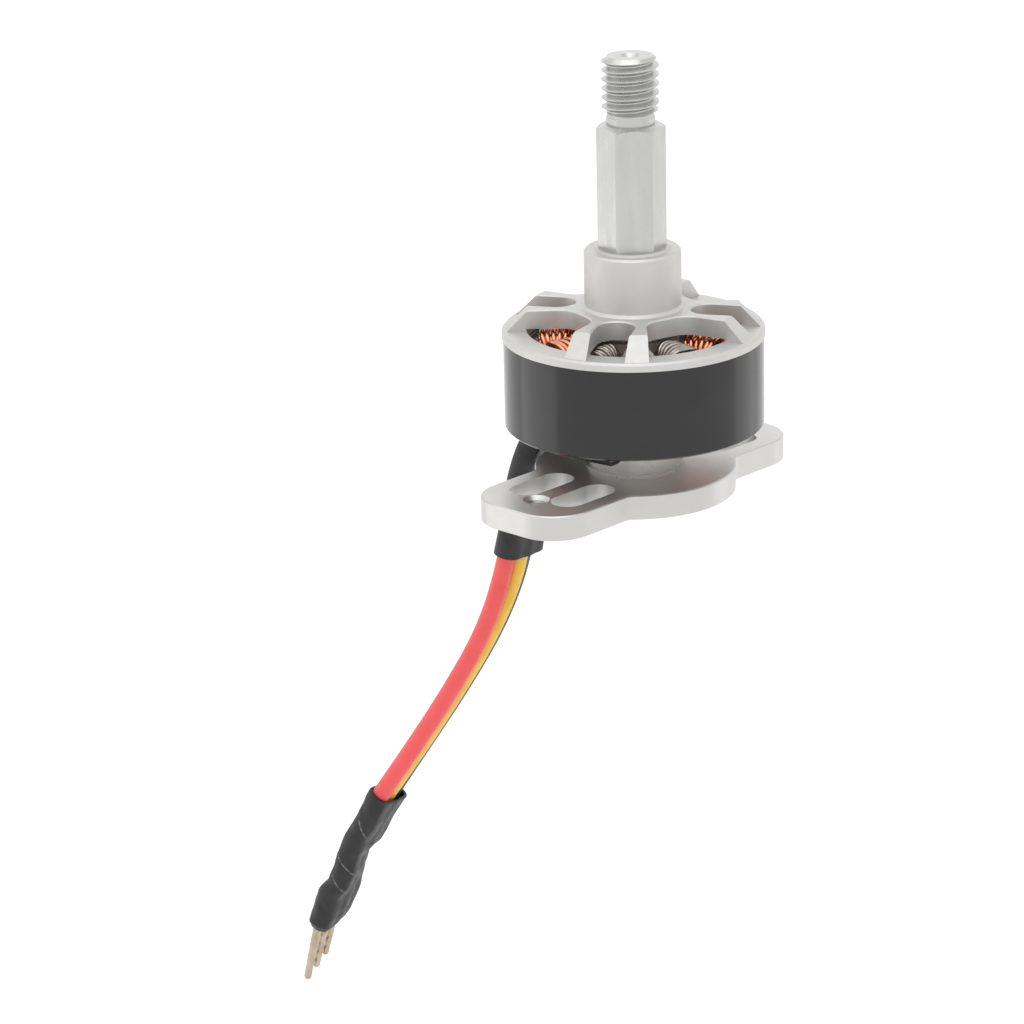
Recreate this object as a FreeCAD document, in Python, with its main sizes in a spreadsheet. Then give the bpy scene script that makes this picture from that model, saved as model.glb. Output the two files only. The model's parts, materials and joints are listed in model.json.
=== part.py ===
"""Brushless outrunner motor: a lobed mounting plate, a wound stator, and a spinning bell with a
propeller shaft.

Millimetres. The origin is the centre of the plate's underside, +Z runs up the shaft and +X along the
plate's two lobes. The three leads leave over the plate's edge on the +Y side and hang below it.
"""
import FreeCAD, Part
import math
import os

import Sketcher

Vector = FreeCAD.Vector
Rotation = FreeCAD.Rotation
Placement = FreeCAD.Placement
Z_AXIS = Vector(0, 0, 1)
FULL_TURN = 360.0

doc = FreeCAD.newDocument("outrunner_motor")
sub_parts = []

# ---------------------------------------------------------------- driving dimensions

SIZES = {
    # mounting plate
    "plate_thickness": 2.25,
    "plate_radius": 8.95,
    "lobe_reach": 16.3,
    "lobe_half_width": 5.6,
    "lobe_corner": 3.8,
    "lobe_root_fillet": 1.2,
    "plate_edge_break": 0.1,
    "screw_offset": 12.9,
    "screw_hole_radius": 0.8,
    "screw_countersink": 0.4,
    "slot_near": 6.1,
    "slot_far": 13.0,
    "slot_radius": 1.55,
    "slot_offset": 2.44,
    # bearing tube
    "tube_radius": 4.0,
    "tube_press_radius": 3.9,
    "tube_flange_radius": 4.4,
    "tube_flange_top": 2.55,
    "tube_boss_radius": 4.22,
    "tube_top": 14.2,
    "tube_rim_top": 14.45,
    "tube_rim_inner": 3.3,
    "tube_lip_radius": 2.6,
    # bearings, 3 x 6 x 2.5
    "bearing_outer": 3.0,
    "bearing_bore": 1.5,
    "bearing_width": 2.5,
    "lower_bearing_base": 1.0,
    "upper_bearing_base": 11.7,
    "race_land_outer": 2.6,
    "race_land_inner": 2.0,
    "race_groove_outer": 2.74,
    "race_groove_inner": 1.86,
    "groove_half_top": 0.35,
    "groove_half_root": 0.12,
    "ball_radius": 0.4,
    "ball_circle": 2.3,
    "cage_inner": 2.12,
    "cage_outer": 2.48,
    "cage_low": 0.12,
    "cage_height": 0.54,
    "cage_pocket_radius": 0.43,
    "shield_inner": 2.12,
    "shield_thickness": 0.15,
    # stator
    "stator_radius": 9.05,
    "stator_base": 7.3,
    "stack_height": 6.0,
    "slot_root": 5.6,
    "slot_shoulder": 8.0,
    "tooth_lip": 8.3,
    "tooth_half_width": 0.7,
    "slot_mouth_half": 0.45,
    "insulator_thickness": 0.3,
    "insulator_radius": 8.85,
    "coil_near": 5.75,
    "coil_far": 7.95,
    "coil_half_near": 1.3,
    "coil_half_far": 1.85,
    "coil_overhang_near": 0.75,
    "coil_overhang_far": 1.15,
    "coil_clearance": 0.05,
    # bell
    "ring_radius": 11.5,
    "ring_inner": 10.4,
    "ring_base": 6.2,
    "ring_top": 14.25,
    "ring_edge_break": 0.15,
    "magnet_inner": 9.35,
    "magnet_base": 6.7,
    "magnet_height": 6.8,
    "magnet_angle": 21.5,
    "cap_radius": 11.6,
    "cap_edge_break": 0.2,
    "cap_spigot_base": 13.7,
    "cap_rim_inner": 9.47,
    "cap_rim_top": 15.0,
    "cap_web_base": 15.2,
    "cap_face": 16.9,
    "cap_bevel_foot": 11.2,
    "cap_bevel_head": 9.3,
    "cap_hub_radius": 2.3,
    "cap_hub_base": 14.6,
    "collar_radius": 4.28,
    "collar_foot_radius": 4.55,
    "collar_foot_height": 0.27,
    "collar_top": 22.1,
    "collar_edge_break": 0.2,
    "collar_lip_radius": 3.4,
    "collar_lip_height": 0.2,
    "collar_lip_taper": 0.1,
    "socket_base": 17.5,
    "window_edge_break": 0.12,
    "small_window_half": 1.7,
    "small_window_near": 5.2,
    "big_window_near": 5.3,
    "big_window_apex": 1.62,
    "big_window_half_angle": 29.6,
    "big_window_round": 2.0,
    # propeller shaft
    "spigot_radius": 3.0,
    "drive_radius": 3.02,
    "hex_across_flats": 5.36,
    "shoulder": 33.3,
    "shoulder_cone": 0.37,
    "shoulder_face_radius": 2.38,
    "neck_radius": 2.12,
    "neck_middle": 33.9,
    "neck_groove_radius": 2.04,
    "neck_groove_low": 34.06,
    "neck_groove_high": 34.22,
    "neck_top": 34.3,
    "thread_radius": 2.5,
    "thread_start": 34.55,
    "thread_pitch": 0.8,
    "thread_root": 2.02,
    "thread_run_out": 0.19,
    "thread_mouth": 0.96,
    "thread_floor": 0.12,
    "tip": 39.25,
    "tip_chamfer": 0.45,
    "centre_radius": 0.9,
    "centre_cone": 0.5,
    "centre_hole_radius": 0.3,
    "centre_depth": 1.3,
    "blind_bore_top": 26.2,
    "blind_bore_cone": 0.4,
    # motor shaft and the small pieces on it
    "shaft_radius": 1.5,
    "shaft_base": 0.15,
    "shaft_top": 26.0,
    "shaft_edge_break": 0.2,
    "clip_base": 0.4,
    "clip_thickness": 0.3,
    "clip_groove_radius": 1.25,
    "clip_radius": 2.3,
    "clip_gap_half": 0.6,
    "shim_radius": 2.0,
    # leads and sleeves
    "lead_radius": 0.85,
    "lead_pitch": 1.74,
    "lead_plane_offset": 3.61,
    "conductor_radius": 0.36,
    "bare_straight": 0.8,
    "solder_radius": 0.6,
    "solder_length": 1.2,
    "tail_radius": 0.3,
    "tail_elbow": 1.0,
    "tail_lean": 0.1,
    "tail_top": 5.7,
    "sleeve_wall": 0.3,
    "sleeve_slack": 0.05,
    # star point under its flattened sleeve
    "star_width": 1.4,
    "star_thickness": 0.65,
    "star_space_width": 1.5,
    "star_space_thickness": 0.75,
    "star_sleeve_width": 2.1,
    "star_sleeve_thickness": 1.35,
}

TOOTH_COUNT = 12
MAGNET_COUNT = 14
BALL_COUNT = 7
WINDOW_PAIRS = 4
SMALL_WINDOW_ANGLE = 29.2
BIG_WINDOW_ANGLE = 74.2
HEX_CORNER_ANGLE = 17.2
LEAD_PLANE_ANGLE = 113.9

sheet = doc.addObject("Spreadsheet::Sheet", "Size")
for line, (alias, value) in enumerate(SIZES.items(), start=1):
    sheet.set(f"A{line}", alias.replace("_", " "))
    sheet.set(f"B{line}", str(value))
    sheet.setAlias(f"B{line}", alias)
doc.recompute()


def size(alias):
    """The number held by one cell of the sheet."""
    return float(getattr(sheet, alias))


def bound(text):
    """Turn words such as 'ring_top - ring_base' into an expression on the sheet."""
    words = sorted(SIZES, key=len, reverse=True)
    out, place = "", 0
    while place < len(text):
        starts_word = place == 0 or not (text[place - 1].isalnum() or text[place - 1] in "_.")
        match = next((w for w in words if starts_word and text.startswith(w, place)), None)
        if match:
            out += "Size." + match
            place += len(match)
        else:
            out += text[place]
            place += 1
    return out


def value_of(text):
    """The value of an expression written in the sheet's words."""
    return float(sheet.evalExpression(bound(str(text))))


def keep(piece, label):
    """Name a finished sub-part; the label is also its file's name."""
    piece.Label = label
    sub_parts.append(piece)
    return piece


# ---------------------------------------------------------------- sketches and bodies


def new_body(label):
    body = doc.addObject("PartDesign::Body", label + "_body")
    return body


def new_sketch(body, role, height="0"):
    """A sketch on one of the body's own origin planes, raised along that plane's normal."""
    sketch = body.newObject("Sketcher::SketchObject", body.Name + "_sketch")
    plane = next(f for f in body.Origin.OriginFeatures if f.Role == role)
    sketch.AttachmentSupport = [(plane, "")]
    sketch.MapMode = "FlatFace"
    if height != "0":
        sketch.setExpression("AttachmentOffset.Base.z", bound(height))
    return sketch


def pin_point(sketch, geometry, end, x, y):
    """Hold one point of the sketch at the coordinates x and y, given as expressions."""
    for kind, text in (("DistanceX", x), ("DistanceY", y)):
        number = sketch.addConstraint(
            Sketcher.Constraint(kind, -1, 1, geometry, end, value_of(text)))
        if any(letter.isalpha() for letter in str(text)):
            sketch.setExpression(f"Constraints[{number}]", bound(text))


def add_polygon(sketch, corners):
    """A closed outline of straight lines whose corners are pairs of expressions."""
    points = [Vector(value_of(x), value_of(y), 0) for x, y in corners]
    count = len(points)
    lines = [
        sketch.addGeometry(Part.LineSegment(points[i], points[(i + 1) % count]), False)
        for i in range(count)
    ]
    for i in range(count):
        sketch.addConstraint(Sketcher.Constraint("Coincident", lines[i], 2, lines[(i + 1) % count], 1))
    for i, (x, y) in enumerate(corners):
        pin_point(sketch, lines[i], 1, x, y)


def add_circle(sketch, x, y, radius):
    centre = Vector(value_of(x), value_of(y), 0)
    circle = sketch.addGeometry(Part.Circle(centre, Z_AXIS, value_of(radius)), False)
    pin_point(sketch, circle, 3, x, y)
    number = sketch.addConstraint(Sketcher.Constraint("Radius", circle, value_of(radius)))
    sketch.setExpression(f"Constraints[{number}]", bound(radius))


def add_slot(sketch, low, high, y, radius):
    """A round-ended slot along the sketch's x axis; low and high are its extreme ends."""
    near, far = f"({low}) + {radius}", f"({high}) - {radius}"
    r, level = value_of(radius), value_of(y)
    x0, x1 = value_of(near), value_of(far)
    quarter = math.pi / 2
    left = sketch.addGeometry(Part.ArcOfCircle(
        Part.Circle(Vector(x0, level, 0), Z_AXIS, r), quarter, 3 * quarter), False)
    bottom = sketch.addGeometry(Part.LineSegment(
        Vector(x0, level - r, 0), Vector(x1, level - r, 0)), False)
    right = sketch.addGeometry(Part.ArcOfCircle(
        Part.Circle(Vector(x1, level, 0), Z_AXIS, r), -quarter, quarter), False)
    top = sketch.addGeometry(Part.LineSegment(
        Vector(x1, level + r, 0), Vector(x0, level + r, 0)), False)
    for first, end, second, start in ((left, 2, bottom, 1), (bottom, 2, right, 1),
                                      (right, 2, top, 1), (top, 2, left, 1)):
        sketch.addConstraint(Sketcher.Constraint("Tangent", first, end, second, start))
    pin_point(sketch, left, 3, near, y)
    pin_point(sketch, right, 3, far, y)
    number = sketch.addConstraint(Sketcher.Constraint("Radius", left, r))
    sketch.setExpression(f"Constraints[{number}]", bound(radius))


def add_pad(body, sketch, length):
    pad = body.newObject("PartDesign::Pad", body.Name + "_pad")
    pad.Profile = sketch
    pad.setExpression("Length", bound(length))
    doc.recompute()
    return pad


def add_pocket(body, sketch, upward):
    """Cut the sketch right through the body."""
    before = body.Tip.Shape.Volume
    pocket = body.newObject("PartDesign::Pocket", body.Name + "_pocket")
    pocket.Profile = sketch
    pocket.Type = "ThroughAll"
    pocket.Reversed = upward
    doc.recompute()
    if pocket.Shape.Volume >= before:
        raise RuntimeError(body.Name + ": a pocket removed nothing")
    return pocket


def add_polar_pattern(body, feature, count):
    pattern = body.newObject("PartDesign::PolarPattern", body.Name + "_pattern")
    pattern.Originals = [feature]
    axis = next(f for f in body.Origin.OriginFeatures if f.Role == "Z_Axis")
    pattern.Axis = (axis, [""])
    pattern.Angle = FULL_TURN
    pattern.Occurrences = count
    body.Tip = pattern
    doc.recompute()
    return pattern


def edges_where(shape, test):
    """Names of the edges whose centre of mass and bounding box pass the test."""
    return [f"Edge{i}" for i, edge in enumerate(shape.Edges, start=1) if test(edge)]


def dress(body, kind, base, names, radius):
    """A PartDesign fillet or chamfer on the named edges of the feature before it."""
    feature = body.newObject("PartDesign::" + kind, body.Name + "_" + kind.lower())
    feature.Base = (base, names)
    feature.setExpression("Radius" if kind == "Fillet" else "Size", bound(radius))
    doc.recompute()
    return feature


def turned(label, corners, finished=True):
    """A body turned about Z from an outline of (radius, height) expressions."""
    body = new_body(label)
    sketch = new_sketch(body, "XZ_Plane")
    add_polygon(sketch, corners)
    turn = body.newObject("PartDesign::Revolution", body.Name + "_turn")
    turn.Profile = sketch
    turn.ReferenceAxis = (sketch, ["V_Axis"])
    turn.Angle = FULL_TURN
    doc.recompute()
    return keep(body, label) if finished else body


# ---------------------------------------------------------------- primitives and booleans


def cylinder(radius, height, base="0", angle=None):
    piece = doc.addObject("Part::Cylinder", "cylinder")
    piece.setExpression("Radius", bound(radius))
    piece.setExpression("Height", bound(height))
    piece.setExpression("Placement.Base.z", bound(base))
    if angle:
        piece.setExpression("Angle", bound(angle))
    return piece


def boolean(kind, first, second):
    """Part::Cut, Part::Common or Part::Fuse of two objects."""
    piece = doc.addObject("Part::" + kind, kind.lower())
    piece.Base = first
    piece.Tool = second
    return piece


def union(pieces):
    piece = doc.addObject("Part::MultiFuse", "union")
    piece.Shapes = pieces
    return piece


def group(label, pieces):
    """One sub-part made of several separate solids."""
    piece = doc.addObject("Part::Compound", label + "_group")
    piece.Links = pieces
    return keep(piece, label)


def turn_to(piece, angle):
    """Turn an object about the motor's axis, after the placement it already has."""
    piece.Placement = Placement(Vector(), Rotation(Z_AXIS, angle)) * piece.Placement
    return piece


# ---------------------------------------------------------------- mounting plate and bearing tube


def is_upright(edge):
    box = edge.BoundBox
    return box.ZLength > 1.0 and box.XLength < 1e-3 and box.YLength < 1e-3


def mounting_plate():
    body = new_body("mounting_plate")
    disc = new_sketch(body, "XY_Plane")
    add_circle(disc, "0", "0", "plate_radius")
    add_pad(body, disc, "plate_thickness")
    lobes = new_sketch(body, "XY_Plane")
    add_polygon(lobes, [
        ("-lobe_reach", "-lobe_half_width"), ("lobe_reach", "-lobe_half_width"),
        ("lobe_reach", "lobe_half_width"), ("-lobe_reach", "lobe_half_width")])
    pad = add_pad(body, lobes, "plate_thickness")
    tip = size("lobe_reach")
    corners = edges_where(pad.Shape, lambda e: is_upright(e) and abs(e.CenterOfMass.x) > tip - 0.1)
    rounded = dress(body, "Fillet", pad, corners, "lobe_corner")
    lobe_side, disc_radius = size("lobe_half_width"), size("plate_radius")

    def is_root(edge):
        middle = edge.CenterOfMass
        return is_upright(edge) and abs(middle.x) < disc_radius and abs(abs(middle.y) - lobe_side) < 0.01

    roots = edges_where(rounded.Shape, is_root)
    blended = dress(body, "Fillet", rounded, roots, "lobe_root_fillet")
    rims = edges_where(blended.Shape, lambda e: e.BoundBox.ZLength < 1e-3)
    broken = dress(body, "Chamfer", blended, rims, "plate_edge_break")

    openings = new_sketch(body, "XY_Plane")
    add_circle(openings, "0", "0", "tube_press_radius")
    for x_sign in (-1, 1):
        add_circle(openings, f"{x_sign} * screw_offset", "0", "screw_hole_radius")
        low, high = ("slot_near", "slot_far") if x_sign > 0 else ("-1 * slot_far", "-1 * slot_near")
        for y_sign in (-1, 1):
            add_slot(openings, low, high, f"{y_sign} * slot_offset", "slot_radius")
    cut = add_pocket(body, openings, True)
    screw, width = size("screw_offset"), 2 * size("screw_hole_radius")

    def is_screw_mouth(edge):
        box = edge.BoundBox
        return (box.ZLength < 1e-3 and abs(box.XLength - width) < 0.01
                and abs(abs(edge.CenterOfMass.x) - screw) < 0.01)

    dress(body, "Chamfer", cut, edges_where(cut.Shape, is_screw_mouth), "screw_countersink")
    return keep(body, "mounting_plate")


def bearing_tube():
    boss_top = "stator_base - insulator_thickness"
    lip_low = "lower_bearing_base + bearing_width"
    return turned("bearing_tube", [
        ("bearing_outer", "0"), ("tube_press_radius", "0"),
        ("tube_press_radius", "plate_thickness"), ("tube_flange_radius", "plate_thickness"),
        ("tube_flange_radius", "tube_flange_top"), ("tube_boss_radius", "tube_flange_top"),
        ("tube_boss_radius", boss_top), ("tube_radius", boss_top), ("tube_radius", "tube_rim_top"),
        ("tube_rim_inner", "tube_rim_top"), ("tube_rim_inner", "tube_top"),
        ("bearing_outer", "tube_top"), ("bearing_outer", "upper_bearing_base"),
        ("tube_lip_radius", "upper_bearing_base"), ("tube_lip_radius", lip_low),
        ("bearing_outer", lip_low)])


# ---------------------------------------------------------------- stator


def toothed_disc(label, base, height, radius):
    """A ring with twelve T-shaped teeth: the slots are cut by a polar pattern."""
    body = new_body(label)
    blank = new_sketch(body, "XY_Plane", base)
    add_circle(blank, "0", "0", radius)
    add_circle(blank, "0", "0", "tube_radius")
    add_pad(body, blank, height)
    half_step = f"{FULL_TURN / TOOTH_COUNT / 2}"

    def wall(distance):
        x = f"{distance} * cos({half_step}) + tooth_half_width * sin({half_step})"
        y = f"{distance} * sin({half_step}) - tooth_half_width * cos({half_step})"
        return x, y

    root, shoulder = wall("slot_root"), wall("slot_shoulder")
    mouth = "stator_radius + 1"
    slot = new_sketch(body, "XY_Plane", base)
    add_polygon(slot, [
        (root[0], f"-1 * ({root[1]})"), (shoulder[0], f"-1 * ({shoulder[1]})"),
        ("tooth_lip", "-1 * slot_mouth_half"), (mouth, "-1 * slot_mouth_half"),
        (mouth, "slot_mouth_half"), ("tooth_lip", "slot_mouth_half"), shoulder, root])
    pocket = add_pocket(body, slot, True)
    add_polar_pattern(body, pocket, TOOTH_COUNT)
    return keep(body, label)


# local X becomes Z (up), local Y becomes X (radial), local Z becomes Y (across)
COIL_TURN = Rotation(FreeCAD.Matrix(
    0, 1, 0, 0,
    0, 0, 1, 0,
    1, 0, 0, 0,
    0, 0, 0, 1))


def coil(angle):
    """One coil: a block that widens outwards, wound round its tooth with an opening for it."""
    block = doc.addObject("Part::Wedge", "coil_block")
    tooth_opening = "tooth_half_width + coil_clearance"
    rise = "stack_height / 2 + insulator_thickness + coil_clearance"
    # the wedge's own Y is the radial direction and its Z the width across the tooth
    for name, text in (
            ("Ymin", "coil_near"), ("Ymax", "coil_far"),
            ("Xmin", f"-1 * ({rise} + coil_overhang_near)"), ("Xmax", f"{rise} + coil_overhang_near"),
            ("X2min", f"-1 * ({rise} + coil_overhang_far)"), ("X2max", f"{rise} + coil_overhang_far"),
            ("Zmin", "-1 * coil_half_near"), ("Zmax", "coil_half_near"),
            ("Z2min", "-1 * coil_half_far"), ("Z2max", "coil_half_far")):
        block.setExpression(name, bound(text))
    hole = doc.addObject("Part::Box", "coil_opening")
    hole.setExpression("Length", bound(f"2 * ({rise})"))
    hole.setExpression("Width", bound("coil_far - coil_near + 2"))
    hole.setExpression("Height", bound(f"2 * ({tooth_opening})"))
    hole.setExpression("Placement.Base.x", bound(f"-1 * ({rise})"))
    hole.setExpression("Placement.Base.y", bound("coil_near - 1"))
    hole.setExpression("Placement.Base.z", bound(f"-1 * ({tooth_opening})"))
    piece = boolean("Cut", block, hole)
    middle = size("stator_base") + size("stack_height") / 2
    piece.Placement = Placement(Vector(0, 0, middle), Rotation(Z_AXIS, angle) * COIL_TURN)
    return piece


def stator():
    toothed_disc("stator_core", "stator_base", "stack_height", "stator_radius")
    toothed_disc("upper_end_insulator", "stator_base + stack_height", "insulator_thickness",
                 "insulator_radius")
    toothed_disc("lower_end_insulator", "stator_base - insulator_thickness", "insulator_thickness",
                 "insulator_radius")
    step = FULL_TURN / TOOTH_COUNT
    for phase, first in (("a", 0), ("b", 2), ("c", 4)):
        teeth = [first, first + 1, first + 6, first + 7]
        group(f"phase_{phase}_coils", [coil((tooth + 0.5) * step) for tooth in teeth])


# ---------------------------------------------------------------- bearings


def bearing(place, base):
    """Races, shields, balls and cage of one bearing whose lower face is at base."""
    middle = f"{base} + bearing_width / 2"
    top = f"{base} + bearing_width"

    def race(name, wall, land, groove):
        turned(name, [
            (wall, base), (wall, top), (land, top), (land, f"{middle} + groove_half_top"),
            (groove, f"{middle} + groove_half_root"), (groove, f"{middle} - groove_half_root"),
            (land, f"{middle} - groove_half_top"), (land, base)])

    race(f"{place}_bearing_outer_race", "bearing_outer", "race_land_outer", "race_groove_outer")
    race(f"{place}_bearing_inner_race", "bearing_bore", "race_land_inner", "race_groove_inner")
    shields = []
    for level in (base, f"{top} - shield_thickness"):
        plate = cylinder("race_land_outer", "shield_thickness", level)
        hole = cylinder("shield_inner", "shield_thickness", level)
        shields.append(boolean("Cut", plate, hole))
    group(f"{place}_bearing_shields", shields)

    balls, pockets = [], []
    for radius, made in (("ball_radius", balls), ("cage_pocket_radius", pockets)):
        for number in range(BALL_COUNT):
            ball = doc.addObject("Part::Sphere", "ball")
            ball.setExpression("Radius", bound(radius))
            ball.setExpression("Placement.Base.x", bound(
                f"ball_circle * cos({number * FULL_TURN / BALL_COUNT:.4f})"))
            ball.setExpression("Placement.Base.y", bound(
                f"ball_circle * sin({number * FULL_TURN / BALL_COUNT:.4f})"))
            ball.setExpression("Placement.Base.z", bound(middle))
            made.append(ball)
    group(f"{place}_bearing_balls", balls)
    crown_base = f"{middle} + cage_low"
    crown = boolean("Cut", cylinder("cage_outer", "cage_height", crown_base),
                    cylinder("cage_inner", "cage_height", crown_base))
    keep(boolean("Cut", crown, union(pockets)), f"{place}_bearing_cage")


# ---------------------------------------------------------------- rotor


def flux_ring():
    edge = "ring_edge_break"
    return turned("flux_ring", [
        ("ring_inner", "ring_base"), (f"ring_radius - {edge}", "ring_base"),
        ("ring_radius", f"ring_base + {edge}"), ("ring_radius", "ring_top"), ("ring_inner", "ring_top")])


def magnets():
    pieces = []
    for number in range(MAGNET_COUNT):
        sector = cylinder("ring_inner", "magnet_height", "magnet_base", "magnet_angle")
        piece = boolean("Cut", sector, cylinder("magnet_inner", "magnet_height", "magnet_base"))
        pieces.append(turn_to(piece, number * FULL_TURN / MAGNET_COUNT))
    return group("magnets", pieces)


def small_window(angle):
    """A parallel slot with a round inner end, open towards the rim."""
    end = cylinder("small_window_half", "cap_face", "cap_rim_inner")
    end.setExpression("Placement.Base.x", bound("small_window_near + small_window_half"))
    bar = doc.addObject("Part::Box", "window_bar")
    bar.setExpression("Length", bound("cap_radius"))
    bar.setExpression("Width", bound("2 * small_window_half"))
    bar.setExpression("Height", bound("cap_face"))
    bar.setExpression("Placement.Base.x", bound("small_window_near + small_window_half"))
    bar.setExpression("Placement.Base.y", bound("-1 * small_window_half"))
    bar.setExpression("Placement.Base.z", bound("cap_rim_inner"))
    return turn_to(boolean("Fuse", end, bar), angle)


def big_window(angle):
    """A wedge whose sides run parallel to the spokes, rounded at its inner end."""
    body = new_body("big_window")
    far = "cap_radius + 1"

    def half(distance):
        return f"({distance} - big_window_apex) * tan(big_window_half_angle)"

    outline = new_sketch(body, "XY_Plane", "cap_rim_inner")
    add_polygon(outline, [
        ("big_window_near", f"-1 * ({half('big_window_near')})"), (far, f"-1 * ({half('(' + far + ')')})"),
        (far, half("(" + far + ")")), ("big_window_near", half("big_window_near"))])
    pad = add_pad(body, outline, "cap_face")
    inner = edges_where(pad.Shape, lambda e: is_upright(e) and e.CenterOfMass.x < size("cap_rim_inner"))
    dress(body, "Fillet", pad, inner, "big_window_round")
    return turn_to(body, angle)


def bell_cap():
    edge = "cap_edge_break"
    blank = turned("bell_cap_blank", [
        ("shaft_radius", "cap_hub_base"), ("cap_hub_radius", "cap_hub_base"),
        ("cap_hub_radius", "cap_web_base"), ("cap_rim_inner", "cap_web_base"),
        ("cap_rim_inner", "cap_spigot_base"), ("ring_inner", "cap_spigot_base"),
        ("ring_inner", "ring_top"), ("cap_radius", "ring_top"),
        ("cap_radius", f"cap_rim_top - {edge}"), (f"cap_radius - {edge}", "cap_rim_top"),
        ("cap_bevel_foot", "cap_rim_top"), ("cap_bevel_head", "cap_face"),
        ("collar_foot_radius", "cap_face"), ("collar_radius", "cap_face + collar_foot_height"),
        ("collar_radius", "collar_top - collar_edge_break"),
        ("collar_radius - collar_edge_break", "collar_top"), ("collar_lip_radius", "collar_top"),
        ("collar_lip_radius - collar_lip_taper", "collar_top + collar_lip_height"),
        ("spigot_radius", "collar_top + collar_lip_height"),
        ("spigot_radius", "socket_base"), ("shaft_radius", "socket_base")], finished=False)
    step = FULL_TURN / WINDOW_PAIRS
    windows = []
    for number in range(WINDOW_PAIRS):
        windows.append(small_window(SMALL_WINDOW_ANGLE + number * step))
        windows.append(big_window(BIG_WINDOW_ANGLE + number * step))
    above_rim = cylinder("cap_radius + 1", "cap_face", "cap_rim_top")
    inside_rim = cylinder("cap_rim_inner", "cap_face", "cap_spigot_base - 1")
    collar_guard = cylinder("collar_radius", "2 * cap_face", "0")
    reach = boolean("Cut", boolean("Fuse", above_rim, inside_rim), collar_guard)
    pierced = boolean("Cut", blank, boolean("Common", union(windows), reach))
    doc.recompute()
    face, rim = size("cap_face"), size("collar_foot_radius") + 0.2
    tops = [(int(name[4:]), size("window_edge_break"), size("window_edge_break"))
            for name in edges_where(pierced.Shape, lambda e: abs(e.BoundBox.ZMin - face) < 1e-4
                                    and abs(e.BoundBox.ZMax - face) < 1e-4
                                    and not is_bevel_head(e) and e.BoundBox.DiagonalLength > 0.1
                                    and math.hypot(*e.valueAt(e.FirstParameter)[:2]) > rim)]
    broken = doc.addObject("Part::Chamfer", "edge_break")
    broken.Base = pierced
    broken.Edges = tops
    doc.recompute()
    return keep(broken, "bell_cap")


def is_bevel_head(edge):
    """True for the arcs where the cap's flat face meets its 45 degree bevel."""
    ends = [edge.valueAt(edge.FirstParameter), edge.valueAt(edge.LastParameter)]
    return all(abs(math.hypot(p.x, p.y) - size("cap_bevel_head")) < 0.01 for p in ends)


def thread_cutter():
    """The helical groove of the right-hand thread, swept along one helix."""
    pitch, start = size("thread_pitch"), size("neck_top") - size("thread_run_out")
    outside, root = size("thread_radius") + 0.05, size("thread_root")
    turns_height = size("tip") + pitch - start
    helix = Part.makeHelix(pitch, turns_height, root)
    half_mouth, half_root = size("thread_mouth") * pitch / 2, size("thread_floor") * pitch / 2
    corners = [Vector(root, 0, -half_root), Vector(outside, 0, -half_mouth),
               Vector(outside, 0, half_mouth), Vector(root, 0, half_root)]
    profile = Part.makePolygon(corners + corners[:1])
    groove = Part.Wire(helix.Edges).makePipeShell([profile], True, True)
    feature = doc.addObject("Part::Feature", "thread_cutter")
    feature.Shape = groove
    feature.Placement = Placement(Vector(0, 0, start), Rotation())
    return feature


def prop_shaft():
    """The hexagonal drive and, above the middle of its neck, the threaded end."""
    drive = turned("prop_shaft_drive", [
        ("shaft_radius", "socket_base"), ("spigot_radius", "socket_base"),
        ("spigot_radius", "collar_top + collar_lip_height"),
        ("drive_radius", "collar_top + collar_lip_height"),
        ("drive_radius", "shoulder - shoulder_cone"),
        ("shoulder_face_radius", "shoulder"), ("neck_radius", "shoulder"),
        ("neck_radius", "neck_middle"), ("0", "neck_middle"),
        ("0", "blind_bore_top + blind_bore_cone"), ("shaft_radius", "blind_bore_top")],
        finished=False)
    hexagon = doc.addObject("Part::Prism", "hexagon")
    hexagon.Polygon = 6
    hexagon.setExpression("Circumradius", bound("hex_across_flats / 2 / cos(30)"))
    hexagon.setExpression("Height", bound("shoulder - collar_top - collar_lip_height"))
    hexagon.setExpression("Placement.Base.z", bound("collar_top + collar_lip_height"))
    turn_to(hexagon, HEX_CORNER_ANGLE)
    sheath = cylinder("collar_radius", "shoulder - collar_top - collar_lip_height",
                      "collar_top + collar_lip_height")
    hexed = boolean("Cut", drive, boolean("Cut", sheath, hexagon))
    end = turned("prop_shaft_end", [
        ("0", "neck_middle"), ("neck_radius", "neck_middle"),
        ("neck_groove_radius", "neck_groove_low"), ("neck_groove_radius", "neck_groove_high"),
        ("neck_radius", "neck_top"), ("thread_radius", "thread_start"),
        ("thread_radius", "tip - tip_chamfer"), ("thread_radius - tip_chamfer", "tip"),
        ("centre_radius", "tip"), ("centre_hole_radius", "tip - centre_cone"),
        ("centre_hole_radius", "tip - centre_depth"), ("0", "tip - centre_depth")], finished=False)
    rod = cylinder("thread_radius", "tip - neck_middle + 1", "neck_middle - 0.5")
    threaded = boolean("Common", end, boolean("Cut", rod, thread_cutter()))
    whole = boolean("Fuse", hexed, threaded)
    whole.Refine = False
    return keep(whole, "prop_shaft")


def motor_shaft():
    edge = "shaft_edge_break"
    clip_top = "clip_base + clip_thickness"
    return turned("motor_shaft", [
        ("0", "shaft_base"), (f"shaft_radius - {edge}", "shaft_base"),
        ("shaft_radius", f"shaft_base + {edge}"), ("shaft_radius", "clip_base"),
        ("clip_groove_radius", "clip_base"), ("clip_groove_radius", clip_top),
        ("shaft_radius", clip_top), ("shaft_radius", f"shaft_top - {edge}"),
        (f"shaft_radius - {edge}", "shaft_top"), ("0", "shaft_top")])


def washer(label, base, height, inner, outer):
    ring = boolean("Cut", cylinder(outer, height, base), cylinder(inner, height, base))
    return keep(ring, label)


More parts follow.
